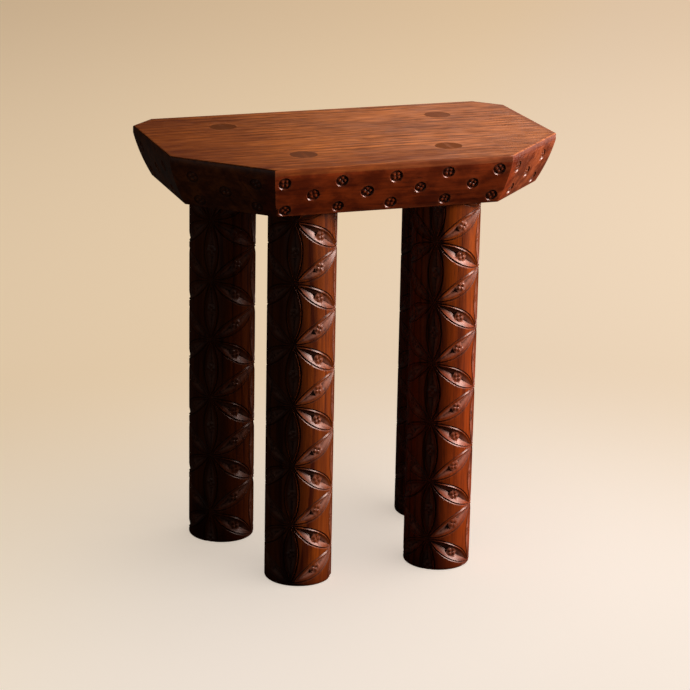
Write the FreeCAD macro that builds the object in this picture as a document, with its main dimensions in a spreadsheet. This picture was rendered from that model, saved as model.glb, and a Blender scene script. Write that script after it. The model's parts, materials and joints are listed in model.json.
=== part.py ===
"""A four-legged plank stool, in millimetres.

A thick seat plank stands on four straight round legs. Seen from above the plank is a
rectangle with two large corners cut off at the front and two small ones at the back. A
plain upright band runs round its top, and below the band every side leans inward to a
smaller underside. Each leg carries a round tenon of its own, which goes up through a
socket in the plank and ends flush with the seat. A hardwood wedge, driven into a saw kerf
in the tenon's end, spreads it across the plank's grain.

The legs are carved all over with six-petalled rosettes. Four columns of them stand a
quarter turn apart, each half a pitch higher or lower than its neighbours, and petals join
every rosette's middle to the next one above and below it and to the two beside it on each
side. A petal is a pit with a raised round boss in its middle.

Frame: +Z up, the floor at Z = 0, +X to the sitter's right as seen from the front, the
front towards -Y, and the origin on the floor below the middle of the plank.
"""
import FreeCAD, Part
import math
import os

import Sketcher

Vector = FreeCAD.Vector

# Driving dimensions: alias, value in millimetres, what it measures
DIMENSIONS = [
    ("seat_length", 416.0, "plank, left to right along its top"),
    ("seat_depth", 252.0, "plank, front to back along its top"),
    ("seat_height", 450.0, "floor to the top of the plank"),
    ("plank_thickness", 52.0, "plank, top to underside"),
    ("band_height", 7.0, "plain upright band below the top"),
    ("front_corner", 83.0, "each front corner's cut, along both sides"),
    ("back_corner", 26.5, "each back corner's cut, along both sides"),
    ("undercut", 18.0, "how far the underside's outline stands in from the top's"),
    ("belly", 1.8, "how far a leaning side bulges at half its height"),
    ("top_ease", 1.2, "rounding of the top's edge"),
    ("front_leg_inset", 47.5, "front cut's end to the front leg's axis, along the front"),
    ("back_leg_inset", 88.75, "plank's end to the back leg's axis, along the back"),
    ("leg_row_inset", 56.0, "plank's front or back edge to the axes of the near legs"),
    ("leg_diameter", 70.0, "leg, outside its carving"),
    ("foot_ease", 2.0, "rounding of the foot's edge"),
    ("rosette_height", 3.0, "floor to the middle of the lowest rosettes"),
    ("rosette_pitch", 64.5, "middle of one rosette to the next one above it"),
    ("petal_half_width", 8.7, "a petal's axis to its outline, at mid length"),
    ("petal_rim", 1.8, "a petal's outline to the pit inside it"),
    ("petal_depth", 4.1, "how deep a petal's pit would be in its middle, without its boss"),
    ("petal_overrun", 0.5, "how far a pit's cut is drawn on past the leg's surface"),
    ("boss_diameter", 11.2, "boss in the middle of each petal"),
    ("boss_sink", 1.7, "how far a boss's end lies below the leg's surface"),
    ("tenon_diameter", 28.0, "tenon on top of each leg"),
    ("socket_clearance", 0.1, "gap between tenon and socket, all round"),
    ("kerf_depth", 40.0, "saw kerf down from the tenon's end"),
    ("kerf_mouth", 4.2, "kerf's width at the top, once the wedge has opened it"),
    ("kerf_root", 1.6, "kerf's width at its bottom"),
    ("wedge_length", 36.0, "wedge, top to thin end"),
    ("wedge_clearance", 0.05, "gap between the wedge and each side of its kerf"),
]

# How far the legs' axes stand from the middle of the plank, in expressions of the sheet
FRONT_LEG_REACH = "(dims.seat_length / 2 - dims.front_corner - dims.front_leg_inset)"
BACK_LEG_REACH = "(dims.seat_length / 2 - dims.back_leg_inset)"
LEG_ROW_REACH = "(dims.seat_depth / 2 - dims.leg_row_inset)"

# Where each leg stands: its corner of the stool, and its axis from left to right and from
# front to back
LEG_PLACES = {
    "front_left": (f"-{FRONT_LEG_REACH}", f"-{LEG_ROW_REACH}"),
    "front_right": (FRONT_LEG_REACH, f"-{LEG_ROW_REACH}"),
    "back_left": (f"-{BACK_LEG_REACH}", LEG_ROW_REACH),
    "back_right": (BACK_LEG_REACH, LEG_ROW_REACH),
}

# The columns of rosettes round a leg, in shares of a full turn from its front
COLUMN_SHARES = (0, 0.25, 0.5, 0.75)

# How far each leg is turned about its own axis, in shares of a full turn
LEG_TURN_SHARES = {
    "front_left": -0.085,
    "front_right": 0.147,
    "back_left": 0.149,
    "back_right": -0.092,
}

# From the rosette where a petal starts to the one where it ends: in shares of the way
# from one column to the next, and of the pitch
PETAL_SHARES = {
    "upright": (0, 1),
    "rising": (1, 0.5),
    "falling": (1, -0.5),
}

# Where a petal's lines are set out along its axis, in shares of half its length
STATION_SHARES = (-1, -0.7, 0, 0.7, 1)

# A full turn, in degrees
FULL_TURN_ANGLE = 360

# A 45 degree corner cut shrinks by this share of the inset when its outline moves inward
CORNER_SHRINK_SHARE = "(2 - sqrt(2))"

# How exactly an edge must lie at a height to be picked there
LEVEL_TOLERANCE = 1e-4

# Turns the wedge blank's height, which is made along Y, up to Z
RIGHT_ANGLE = 90

# Which point of a sketch's line or circle a constraint holds, as the sketcher counts them
WHOLE_LINE, START, END, CENTRE = range(4)
# The sketch's own axes, counted down from nought, and the point where they cross
_, LEVEL_AXIS, UPRIGHT_AXIS = range(0, -3, -1)
ORIGIN = (LEVEL_AXIS, START)

doc = FreeCAD.newDocument("plank_stool")
sheet = doc.addObject("Spreadsheet::Sheet", "dims")
for row, (alias, value, meaning) in enumerate(DIMENSIONS, start=1):
    sheet.set(f"A{row}", alias)
    sheet.set(f"B{row}", str(value))
    sheet.setAlias(f"B{row}", alias)
    sheet.set(f"C{row}", meaning)
doc.recompute()


def value_of(expression):
    """What an expression of the sheet comes to, for a sketch's first guess."""
    return float(sheet.evalExpression(expression))


def origin_plane(body, role):
    """One of a body's own origin planes."""
    return next(item for item in body.Origin.OriginFeatures if item.Role == role)


def new_body(label, place):
    """A body with a placement bound to the sheet."""
    body = doc.addObject("PartDesign::Body", label)
    body.Label = label
    for axis, expression in zip("xyz", place):
        body.setExpression(f"Placement.Base.{axis}", expression)
    return body


def new_sketch(body, name, role="XY_Plane", height=None):
    """A sketch on a body's origin plane, raised above it by an expression."""
    sketch = body.newObject("Sketcher::SketchObject", name)
    sketch.AttachmentSupport = [(origin_plane(body, role), "")]
    sketch.MapMode = "FlatFace"
    if height:
        sketch.setExpression("AttachmentOffset.Base.z", height)
    return sketch


def bind(sketch, kind, arguments, expression):
    """A dimension of a sketch, bound to the sheet."""
    index = sketch.addConstraint(Sketcher.Constraint(kind, *arguments))
    sketch.setExpression(f"Constraints[{index}]", expression)


def draw_loop(sketch, points):
    """A closed loop of straight lines whose ends are joined."""
    for start, end in zip(points, points[1:] + points[:1]):
        sketch.addGeometry(Part.LineSegment(Vector(*start, 0), Vector(*end, 0)), False)
    for index in range(len(points)):
        following = (index + 1) % len(points)
        sketch.addConstraint(Sketcher.Constraint("Coincident", index, END, following, START))


def draw_circle(sketch, diameter, centre=(0, 0)):
    """A circle whose diameter is an expression of the sheet; its index is returned."""
    guess = value_of(diameter)
    circle = Part.Circle(Vector(*centre, 0), Vector(0, 0, 1), guess / 2)
    index = sketch.addGeometry(circle, False)
    bind(sketch, "Diameter", (index, guess), diameter)
    return index


def plank_outline(body, name, height, inset):
    """The plank's eight-sided outline at a height, moved inward all round by an inset.

    The sides run anticlockwise from the front: front, right front cut, right, right back
    cut, back, left back cut, left, left front cut.
    """
    half_length = value_of("dims.seat_length / 2")
    half_depth = value_of("dims.seat_depth / 2")
    front_cut = value_of("dims.front_corner")
    back_cut = value_of("dims.back_corner")
    sketch = new_sketch(body, name, height=height)
    draw_loop(sketch, [
        (front_cut - half_length, -half_depth),
        (half_length - front_cut, -half_depth),
        (half_length, front_cut - half_depth),
        (half_length, half_depth - back_cut),
        (half_length - back_cut, half_depth),
        (back_cut - half_length, half_depth),
        (-half_length, half_depth - back_cut),
        (-half_length, front_cut - half_depth),
    ])
    front, front_right, right, back_right, back, back_left, left, front_left = range(8)
    mirrored_pairs = [
        ((front, START), (front, END)),
        ((right, START), (left, END)),
        ((right, END), (left, START)),
        ((back, START), (back, END)),
    ]
    for first, second in mirrored_pairs:
        sketch.addConstraint(Sketcher.Constraint("Symmetric", *first, *second, UPRIGHT_AXIS))
    sketch.addConstraint(Sketcher.Constraint("Vertical", right))
    front_expression = f"dims.front_corner - {CORNER_SHRINK_SHARE} * ({inset})"
    back_expression = f"dims.back_corner - {CORNER_SHRINK_SHARE} * ({inset})"
    bind(sketch, "DistanceX", (left, START, right, START, 2 * half_length),
         f"dims.seat_length - 2 * ({inset})")
    bind(sketch, "DistanceY", (front, START, back, START, 2 * half_depth),
         f"dims.seat_depth - 2 * ({inset})")
    bind(sketch, "DistanceY", (front, START, *ORIGIN, half_depth),
         f"dims.seat_depth / 2 - ({inset})")
    bind(sketch, "DistanceX", (front_right, START, front_right, END, front_cut), front_expression)
    bind(sketch, "DistanceY", (front_right, START, front_right, END, front_cut), front_expression)
    bind(sketch, "DistanceX", (back_right, END, back_right, START, back_cut), back_expression)
    bind(sketch, "DistanceY", (back_right, START, back_right, END, back_cut), back_expression)
    return sketch


def edges_at(feature, height, straight):
    """Names of a feature's edges that lie level at a height, either straight or round."""
    names = []
    for number, edge in enumerate(feature.Shape.Edges, start=1):
        box = edge.BoundBox
        level = math.isclose(box.ZMin, height, abs_tol=LEVEL_TOLERANCE)
        level = level and math.isclose(box.ZMax, height, abs_tol=LEVEL_TOLERANCE)
        if level and (edge.Curve.TypeId == "Part::GeomLine") == straight:
            names.append(f"Edge{number}")
    return names


def ease_edges(body, name, feature, height, straight, radius):
    """Rounds a feature's level edges at a height by a radius from the sheet."""
    doc.recompute()
    fillet = body.newObject("PartDesign::Fillet", name)
    fillet.Base = (feature, edges_at(feature, value_of(height), straight))
    fillet.setExpression("Radius", radius)
    return fillet


def make_seat_plank():
    """The plank: upright band, leaning sides, eased top edge and four sockets."""
    body = new_body("seat_plank", ("0", "0", "dims.seat_height - dims.plank_thickness"))
    band_foot = "dims.plank_thickness - dims.band_height"
    outline = plank_outline(body, "band_outline", band_foot, "0")
    half_way = plank_outline(body, "belly_outline", f"({band_foot}) / 2",
                             "dims.undercut / 2 - dims.belly")
    underside = plank_outline(body, "underside_outline", "0", "dims.undercut")

    band = body.newObject("PartDesign::Pad", "band")
    band.Profile = outline
    band.setExpression("Length", "dims.band_height")
    doc.recompute()

    leaning_sides = body.newObject("PartDesign::AdditiveLoft", "leaning_sides")
    leaning_sides.Profile = outline
    leaning_sides.Sections = [half_way, underside]
    leaning_sides.Ruled = False

    top_edge = ease_edges(body, "top_edge", leaning_sides, "dims.plank_thickness", True,
                          "dims.top_ease")
    doc.recompute()

    places = new_sketch(body, "socket_places", height="dims.plank_thickness")
    socket_diameter = "dims.tenon_diameter + 2 * dims.socket_clearance"
    for across, along in LEG_PLACES.values():
        centre = (value_of(across), value_of(along))
        circle = draw_circle(places, socket_diameter, centre)
        bind(places, "DistanceX", (*ORIGIN, circle, CENTRE, centre[0]), across)
        bind(places, "DistanceY", (*ORIGIN, circle, CENTRE, centre[1]), along)
    doc.recompute()
    solid_before = top_edge.Shape.Volume

    sockets = body.newObject("PartDesign::Pocket", "sockets")
    sockets.Profile = places
    sockets.Type = "ThroughAll"
    doc.recompute()
    if not sockets.Shape.Volume < solid_before:
        raise RuntimeError("the sockets cut nothing out of the plank")
    return body


def make_post():
    """The plain round post that all four legs are cut from, with its eased foot."""
    body = new_body("post", ("0", "0", "0"))
    post_outline = new_sketch(body, "post_outline")
    circle = draw_circle(post_outline, "dims.leg_diameter")
    post_outline.addConstraint(Sketcher.Constraint("Coincident", circle, CENTRE, *ORIGIN))
    post = body.newObject("PartDesign::Pad", "post_pad")
    post.Profile = post_outline
    post.setExpression("Length", "dims.seat_height - dims.plank_thickness")
    ease_edges(body, "foot_edge", post, "0", False, "dims.foot_ease")
    return body


def wrap(around, height, radius):
    """A point of a leg's unrolled surface, bent round the leg's axis at a radius."""
    angle = around / value_of("dims.leg_diameter / 2")
    return Vector(radius * math.sin(angle), -radius * math.cos(angle), height)


def column_spacing():
    """From one column of rosettes to the next, round the leg's surface."""
    return value_of("dims.leg_diameter") * math.pi / len(COLUMN_SHARES)


def make_pit(kind):
    """What one petal's pit takes out of the post, before its boss is left standing.

    On the unrolled surface the petal's outline is two arcs between two rosettes' middles,
    and the pit's rim runs inside it. From there both sides slope down to a valley on the
    petal's axis. The cut's outer lines lie past the surface, where the slopes are drawn on
    to, and its back is a low ridge that stays clear of the surface.
    """
    across_share, up_share = PETAL_SHARES[kind]
    across = across_share * column_spacing()
    up = up_share * value_of("dims.rosette_pitch")
    span = math.hypot(across, up)
    half_width = value_of("dims.petal_half_width")
    slope = value_of("dims.petal_depth / (dims.petal_half_width - dims.petal_rim)")
    arc_radius = ((span / 2) ** 2 + half_width ** 2) / (2 * half_width)
    arc_centre = arc_radius - half_width
    outer_radius = arc_radius - value_of("dims.petal_rim") + value_of("dims.petal_overrun") / slope
    tip = math.sqrt(outer_radius ** 2 - arc_centre ** 2)
    outside = value_of("dims.leg_diameter / 2 + dims.petal_overrun")

    left, valley, right, ridge = [], [], [], []
    for share in STATION_SHARES:
        along = tip * share
        reach = math.sqrt(outer_radius ** 2 - along ** 2) - arc_centre
        corners = [
            (left, -reach, outside),
            (valley, 0, outside - reach * slope),
            (right, reach, outside),
            (ridge, 0, outside / math.cos(reach / outside)),
        ]
        for line, sideways, radius in corners:
            around = across / 2 + (along * across - sideways * up) / span
            height = up / 2 + (along * up + sideways * across) / span
            line.append(wrap(around, height, radius))

    edges = []
    for line in (left, valley, right, ridge):
        curve = Part.BSplineCurve()
        curve.interpolate(line)
        edges.append(curve.toShape())
    faces = [Part.makeRuledSurface(edge, following)
             for edge, following in zip(edges, edges[1:] + edges[:1])]
    skin = Part.Compound(faces)
    skin.sewShape()
    solid = Part.Solid(skin.Shells[0])
    if solid.Volume < 0:
        solid.reverse()
    pit = doc.addObject("Part::Feature", f"{kind}_pit")
    pit.Shape = solid
    return pit


def make_petal(kind):
    """A petal's pit around the round boss in its middle."""
    across_share, up_share = PETAL_SHARES[kind]
    around = across_share * column_spacing() / 2
    height = up_share * value_of("dims.rosette_pitch") / 2
    boss = doc.addObject("Part::Cylinder", f"{kind}_boss")
    boss.setExpression("Radius", "dims.boss_diameter / 2")
    boss.setExpression("Height", "dims.leg_diameter / 4 - dims.boss_sink")
    foot = wrap(around, height, value_of("dims.leg_diameter / 4"))
    outward = Vector(foot.x, foot.y, 0)
    boss.Placement = FreeCAD.Placement(foot, FreeCAD.Rotation(Vector(0, 0, 1), outward))
    petal = doc.addObject("Part::Cut", f"{kind}_petal")
    petal.Base = make_pit(kind)
    petal.Tool = boss
    return petal


def make_carved_post():
    """The post with every petal cut out of it; the pattern runs off both its ends."""
    petals = [make_petal(kind) for kind in PETAL_SHARES]
    post = make_post()
    doc.recompute()
    pitch = value_of("dims.rosette_pitch")
    shoulder = value_of("dims.seat_height - dims.plank_thickness")
    cuts = []
    for column, share in enumerate(COLUMN_SHARES):
        raised = pitch / 2 * (column % 2)
        for row in range(-1, math.ceil(shoulder / pitch) + 1):
            for petal in petals:
                cut = petal.Shape.copy()
                cut.rotate(Vector(0, 0, 0), Vector(0, 0, 1), share * FULL_TURN_ANGLE)
                cut.translate(Vector(0, 0, value_of("dims.rosette_height") + raised + row * pitch))
                if cut.BoundBox.ZMin < shoulder and cut.BoundBox.ZMax > 0:
                    cuts.append(cut)
    rosettes = doc.addObject("Part::Feature", "rosettes")
    rosettes.Shape = Part.Compound(cuts)
    carved = doc.addObject("Part::Cut", "carved_post")
    carved.Base = post
    carved.Tool = rosettes
    doc.recompute()
    if not carved.Shape.Volume < post.Shape.Volume:
        raise RuntimeError("the petals cut nothing out of the post")
    return carved


def make_leg(corner, carved_post):
    """One leg: the carved post turned its own way, a round tenon, and the kerf in its end."""
    across, along = LEG_PLACES[corner]
    turn = LEG_TURN_SHARES[corner] * FULL_TURN_ANGLE
    body = new_body(f"leg_{corner}", (across, along, "0"))
    body.Placement.Rotation = FreeCAD.Rotation(Vector(0, 0, 1), turn)
    body.BaseFeature = carved_post
    doc.recompute()

    shoulder = "dims.seat_height - dims.plank_thickness"
    tenon_outline = new_sketch(body, "tenon_outline", height=shoulder)
    circle = draw_circle(tenon_outline, "dims.tenon_diameter")
    tenon_outline.addConstraint(Sketcher.Constraint("Coincident", circle, CENTRE, *ORIGIN))
    tenon = body.newObject("PartDesign::Pad", "tenon")
    tenon.Profile = tenon_outline
    tenon.setExpression("Length", "dims.plank_thickness")
    doc.recompute()
    if not tenon.Shape.Volume > carved_post.Shape.Volume:
        raise RuntimeError("the tenon added nothing to the leg")

    top = value_of("dims.seat_height")
    root = value_of("dims.seat_height - dims.kerf_depth")
    half_mouth = value_of("dims.kerf_mouth / 2")
    half_root = value_of("dims.kerf_root / 2")
    kerf_outline = new_sketch(body, "kerf_outline", role="XZ_Plane")
    kerf_outline.AttachmentOffset.Rotation = FreeCAD.Rotation(Vector(0, 1, 0), -turn)
    draw_loop(kerf_outline, [(-half_root, root), (half_root, root), (half_mouth, top),
                             (-half_mouth, top)])
    floor, right, mouth, left = range(4)
    for line in (floor, mouth):
        kerf_outline.addConstraint(
            Sketcher.Constraint("Symmetric", line, START, line, END, UPRIGHT_AXIS))
    bind(kerf_outline, "DistanceX", (floor, START, floor, END, 2 * half_root), "dims.kerf_root")
    bind(kerf_outline, "DistanceX", (mouth, END, mouth, START, 2 * half_mouth), "dims.kerf_mouth")
    bind(kerf_outline, "DistanceY", (*ORIGIN, mouth, START, top), "dims.seat_height")
    bind(kerf_outline, "DistanceY", (right, START, right, END, top - root), "dims.kerf_depth")
    kerf = body.newObject("PartDesign::Pocket", "kerf")
    kerf.Profile = kerf_outline
    kerf.Type = "ThroughAll"
    kerf.SideType = "Symmetric"
    doc.recompute()
    if not kerf.Shape.Volume < tenon.Shape.Volume:
        raise RuntimeError("the kerf cut nothing out of the tenon")
    return body


def make_wedge(corner):
    """One wedge: it fills its kerf from the seat's top down, trimmed round to the tenon.

    The wedge runs front to back, so it pushes along the plank's grain and not across it.
    Its width follows the kerf's slope, less the clearance on each side.
    """
    across, along = LEG_PLACES[corner]
    thin_end_share = "(1 - dims.wedge_length / dims.kerf_depth)"
    mouth = "(dims.kerf_mouth / 2 - dims.wedge_clearance)"
    root = "(dims.kerf_root / 2 - dims.wedge_clearance)"
    thin_end = f"({root} + ({mouth} - {root}) * {thin_end_share})"
    reach = "dims.tenon_diameter / 2 + dims.leg_diameter / 2"

    blank = doc.addObject("Part::Wedge", f"wedge_blank_{corner}")
    blank.setExpression("Xmin", f"-{thin_end}")
    blank.setExpression("Xmax", thin_end)
    blank.setExpression("X2min", f"-{mouth}")
    blank.setExpression("X2max", mouth)
    for low, high in (("Zmin", "Zmax"), ("Z2min", "Z2max")):
        blank.setExpression(low, f"-({reach})")
        blank.setExpression(high, reach)
    blank.setExpression("Ymax", "dims.wedge_length")
    blank.Placement.Rotation = FreeCAD.Rotation(Vector(1, 0, 0), RIGHT_ANGLE)

    trim = doc.addObject("Part::Cylinder", f"wedge_trim_{corner}")
    trim.setExpression("Radius", "dims.tenon_diameter / 2")
    trim.setExpression("Height", "dims.wedge_length")

    wedge = doc.addObject("Part::Common", f"wedge_{corner}")
    wedge.Base = blank
    wedge.Tool = trim
    wedge.Label = f"wedge_{corner}"
    wedge.setExpression("Placement.Base.x", across)
    wedge.setExpression("Placement.Base.y", along)
    wedge.setExpression("Placement.Base.z", "dims.seat_height - dims.wedge_length")
    return wedge


pieces = [make_seat_plank()]
rosette_post = make_carved_post()
for corner_name in LEG_PLACES:
    pieces.append(make_leg(corner_name, rosette_post))
for corner_name in LEG_PLACES:
    pieces.append(make_wedge(corner_name))
doc.recompute()

for item in doc.Objects:
    if "Invalid" in item.State or "Error" in item.State:
        raise RuntimeError(f"{item.Label} failed: {item.State}")
for piece in pieces:
    if piece.Shape.isNull() or not piece.Shape.isValid():
        raise RuntimeError(f"{piece.Label} has no valid shape")
    if len(piece.Shape.Solids) != 1:
        raise RuntimeError(f"{piece.Label} is not one solid")

os.makedirs("parts", exist_ok=True)
for piece in pieces:
    piece.Shape.exportStep(f"parts/{piece.Label}.step")
    box = piece.Shape.optimalBoundingBox()
    print(f"{piece.Label}: {box.XLength:.1f} x {box.YLength:.1f} x {box.ZLength:.1f} mm, "
          f"{piece.Shape.Volume / 1000:.1f} cm3, Z from {box.ZMin:.1f} to {box.ZMax:.1f}")
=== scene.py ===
"""The looks of a carved plank stool, laid out as a Blender add-on and run as a script.

The packed model gives every piece its place and size. This file carves the plank and the
legs anew with what the solids leave out: the scribed lines and pellets of the petals on the
four round legs, stamped flowers on the plank's leaning sides, slightly uneven edges, and
the finish of every surface. Lengths are metres, in the stool's own frame: +Z up, the floor
at Z = 0, front towards -Y.
"""

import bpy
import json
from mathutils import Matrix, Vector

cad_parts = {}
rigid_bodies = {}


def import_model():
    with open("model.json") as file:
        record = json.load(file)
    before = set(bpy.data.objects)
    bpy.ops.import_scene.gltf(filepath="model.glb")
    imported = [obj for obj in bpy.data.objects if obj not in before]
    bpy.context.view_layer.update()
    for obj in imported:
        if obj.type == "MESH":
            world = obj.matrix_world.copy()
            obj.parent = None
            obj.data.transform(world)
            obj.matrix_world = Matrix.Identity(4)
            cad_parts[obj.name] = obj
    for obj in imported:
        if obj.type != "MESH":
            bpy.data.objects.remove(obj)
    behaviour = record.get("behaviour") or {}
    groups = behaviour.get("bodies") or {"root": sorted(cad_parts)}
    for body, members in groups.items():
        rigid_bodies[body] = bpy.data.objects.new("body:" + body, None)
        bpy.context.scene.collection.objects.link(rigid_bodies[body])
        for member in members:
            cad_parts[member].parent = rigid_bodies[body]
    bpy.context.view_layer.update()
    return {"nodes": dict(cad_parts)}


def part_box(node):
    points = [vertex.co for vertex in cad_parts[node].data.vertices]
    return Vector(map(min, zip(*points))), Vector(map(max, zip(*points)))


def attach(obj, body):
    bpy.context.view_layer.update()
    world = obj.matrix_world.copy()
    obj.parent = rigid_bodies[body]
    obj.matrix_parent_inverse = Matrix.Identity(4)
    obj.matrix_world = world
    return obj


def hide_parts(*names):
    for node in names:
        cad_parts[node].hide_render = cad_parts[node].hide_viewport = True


bl_info = {
    "name": "Carved plank stool",
    "version": (1, 0, 0),
    "blender": (4, 5, 0),
    "location": "View3D > Sidebar > Stool",
    "description": "Carves and finishes a four-legged plank stool around its plain solids",
    "category": "Object",
}

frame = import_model()

import json
import math
import random

import bmesh
import bpy
import numpy as np
from bpy.props import FloatProperty, FloatVectorProperty, IntProperty, PointerProperty
from mathutils import Matrix, Vector, kdtree, noise
from mathutils.geometry import delaunay_2d_cdt

MM = 0.001
CORNERS = ("front_left", "front_right", "back_left", "back_right")
LEGS = {corner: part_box(f"leg_{corner}") for corner in CORNERS}
MIDDLES = {corner: (low + high) / 2 for corner, (low, high) in LEGS.items()}
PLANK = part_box("seat_plank")

# Places closer together than this count as one
TINY = 0.01 * MM


def length(description, millimetres):
    """A size that a user may change."""
    return FloatProperty(description=description, default=millimetres * MM, min=0.0,
                         unit="LENGTH", subtype="DISTANCE", precision=4)


def angle(description, degrees):
    """An angle that a user may change."""
    return FloatProperty(description=description, default=math.radians(degrees), subtype="ANGLE")


def colour(description, *default):
    """A colour that a user may change."""
    return FloatVectorProperty(description=description, default=default, size=3, min=0.0,
                               max=1.0, subtype="COLOR")


def share(description, default, top=1.0):
    """A plain number that a user may change."""
    return FloatProperty(description=description, default=default, min=0.0, max=top,
                         subtype="FACTOR")


class RosetteSizes(bpy.types.PropertyGroup):
    """The compass-drawn petals that cover the legs."""

    columns: IntProperty(description="Columns of nodes round a leg", default=4, min=2, max=12)
    pitch: length("One node to the next up a column", 64.5)
    first_node: length("Lowest rosettes' middles above the floor", 3)
    petal_half_width: length("Axis to outline, at mid length", 8.7)
    scribe_centre: length("Outline to the bottom of the scribed line", 0.7)
    scribe_half_width: length("Half the scribed line", 1.1)
    scribe_depth: length("Depth of the scribed line", 1)
    pit_slope: share("Depth a pit gains per length inward from its rim", 0.6, 2.0)
    boss_radius: length("Flower left standing in each petal", 5.9)
    boss_depth: length("Ground of the flower below the leg's skin", 1.7)
    jitter: length("How far a cut wanders from the drawn line", 0.45)


class StampSizes(bpy.types.PropertyGroup):
    """The stamped flowers on the plank's leaning sides."""

    radius: length("Outer edge of the stamp", 6.8)
    depth: length("Ground of the stamp below the plank's skin", 1.15)
    wall: length("Width of the stamp's sloping wall", 0.8)
    pellet_reach_share: share("Stamp centre to pellet centre, of the radius", 0.44)
    pellet_radius_share: share("Pellet, of the stamp's radius", 0.34)


class PlankSizes(bpy.types.PropertyGroup):
    """The plank's form, where the packed model gives only its box."""

    band: length("Plain upright band below the top", 7)
    front_corner: length("Front corner's cut along both sides", 83)
    back_corner: length("Back corner's cut along both sides", 26.5)
    undercut: length("Underside's outline in from the top's", 18)
    belly: length("Bulge of a leaning side at half its height", 1.8)
    ease: length("Rounding of the top's edge", 1.2)
    socket_radius: length("Round socket through the plank", 14.1)


class WoodColours(bpy.types.PropertyGroup):
    """Colours of the wood and its finish. Early wood is light and late wood is dark."""

    top_left: colour("Early wood of the seat's left end", 0.52, 0.187, 0.04)
    # Its extra blue is a painted pinkish sheen
    top_right_with_sheen: colour("Early wood of the seat's right end", 0.435, 0.18, 0.073)
    top_dark: colour("Late wood of the worn seat", 0.1, 0.03, 0.008)
    side_light: colour("Early wood of the varnished sides", 0.2, 0.034, 0.006)
    left_cut: colour("Early wood of the left corner cut", 0.3, 0.08, 0.016)
    # Less red than the sides: its own colour with a painted pinkish sheen of the window
    right_cut_with_sheen: colour("Early wood of the right corner cut", 0.2, 0.055, 0.02)
    # Also the colour of the painted shade on the top and on the right cuts' band
    side_dark_and_shade: colour("Late wood of the varnished sides", 0.075, 0.01, 0.0016)
    leg_light: colour("Early wood of the left legs", 0.186, 0.041, 0.0038)
    leg_red: colour("Early wood of the right legs", 0.21, 0.036, 0.004)
    leg_amber: colour("Early wood high on the right legs", 0.25, 0.051, 0.0035)
    # Also the colour of the painted shade at the feet
    leg_dark_and_shade: colour("Late wood of the legs", 0.045, 0.0065, 0.0015)
    end_grain: colour("Tenon and wedge ends", 0.153, 0.052, 0.0165)
    # The colour of the painted shade in the folds, cuts, bosses and stamps, and of the figure's
    # dark dashes
    wax: colour("Dark wax in the bottoms of the cuts", 0.02, 0.006, 0.0025)


class StudioSizes(bpy.types.PropertyGroup):
    """Where the photographer stands, and the pale room."""

    distance: length("Camera to the point it looks at", 2741)
    lens: FloatProperty(description="Focal length", default=135.6, min=10.0, unit="CAMERA")
    turn: angle("Camera round to the stool's left", 19.51)
    rise: angle("Camera above the level", 17.4)
    roll: angle("Camera's tilt about its own axis", 1.12)
    # From near to far these colours paint a pool of light round the stool
    floor_near: colour("Pale floor round the stool", 0.95, 0.84, 0.735)
    floor_middle: colour("The floor a metre away", 0.79, 0.625, 0.455)
    floor_far: colour("The floor in the distance", 0.53, 0.395, 0.27)


GROUPS = {"stool_rosettes": RosetteSizes, "stool_stamps": StampSizes, "stool_plank": PlankSizes,
          "stool_woods": WoodColours, "stool_studio": StudioSizes}


# Flat sheets of feature lines, triangulated and then bent into place

def polar(centre, radius, bearing):
    """A point at a distance and angle from a centre."""
    return (centre[0] + radius * math.cos(bearing), centre[1] + radius * math.sin(bearing))


def flat(verts):
    """The X and Y of some verts."""
    return np.array([tuple(vert.co.xy) for vert in verts])


def beyond(points, centre, radius):
    """Which points lie outside a circle that is drawn with straight steps."""
    return np.hypot(*(points - centre.xy).T) > 0.998 * radius


def in_rim(points, rim, centre):
    """Which points lie inside a rim that is all in sight of its centre, in rim_loop's order."""
    rim = rim - centre.xy
    offset = points - centre.xy
    following = np.searchsorted(np.arctan2(*rim.T[::-1]), np.arctan2(*offset.T[::-1]))
    start = rim[following - 1]
    side = rim[following % len(rim)] - start
    offset = offset - start
    return side[:, 0] * offset[:, 1] - side[:, 1] * offset[:, 0] > 0


def sides_of(corners):
    """Each side of a closed outline: where it starts and ends."""
    return zip(corners, np.roll(corners, -1, axis=0))


def search_tree(points):
    """A tree that finds the nearest of some flat points."""
    tree = kdtree.KDTree(len(points))
    for index, point in enumerate(points):
        tree.insert((*point, 0.0), index)
    tree.balance()
    return tree


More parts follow.
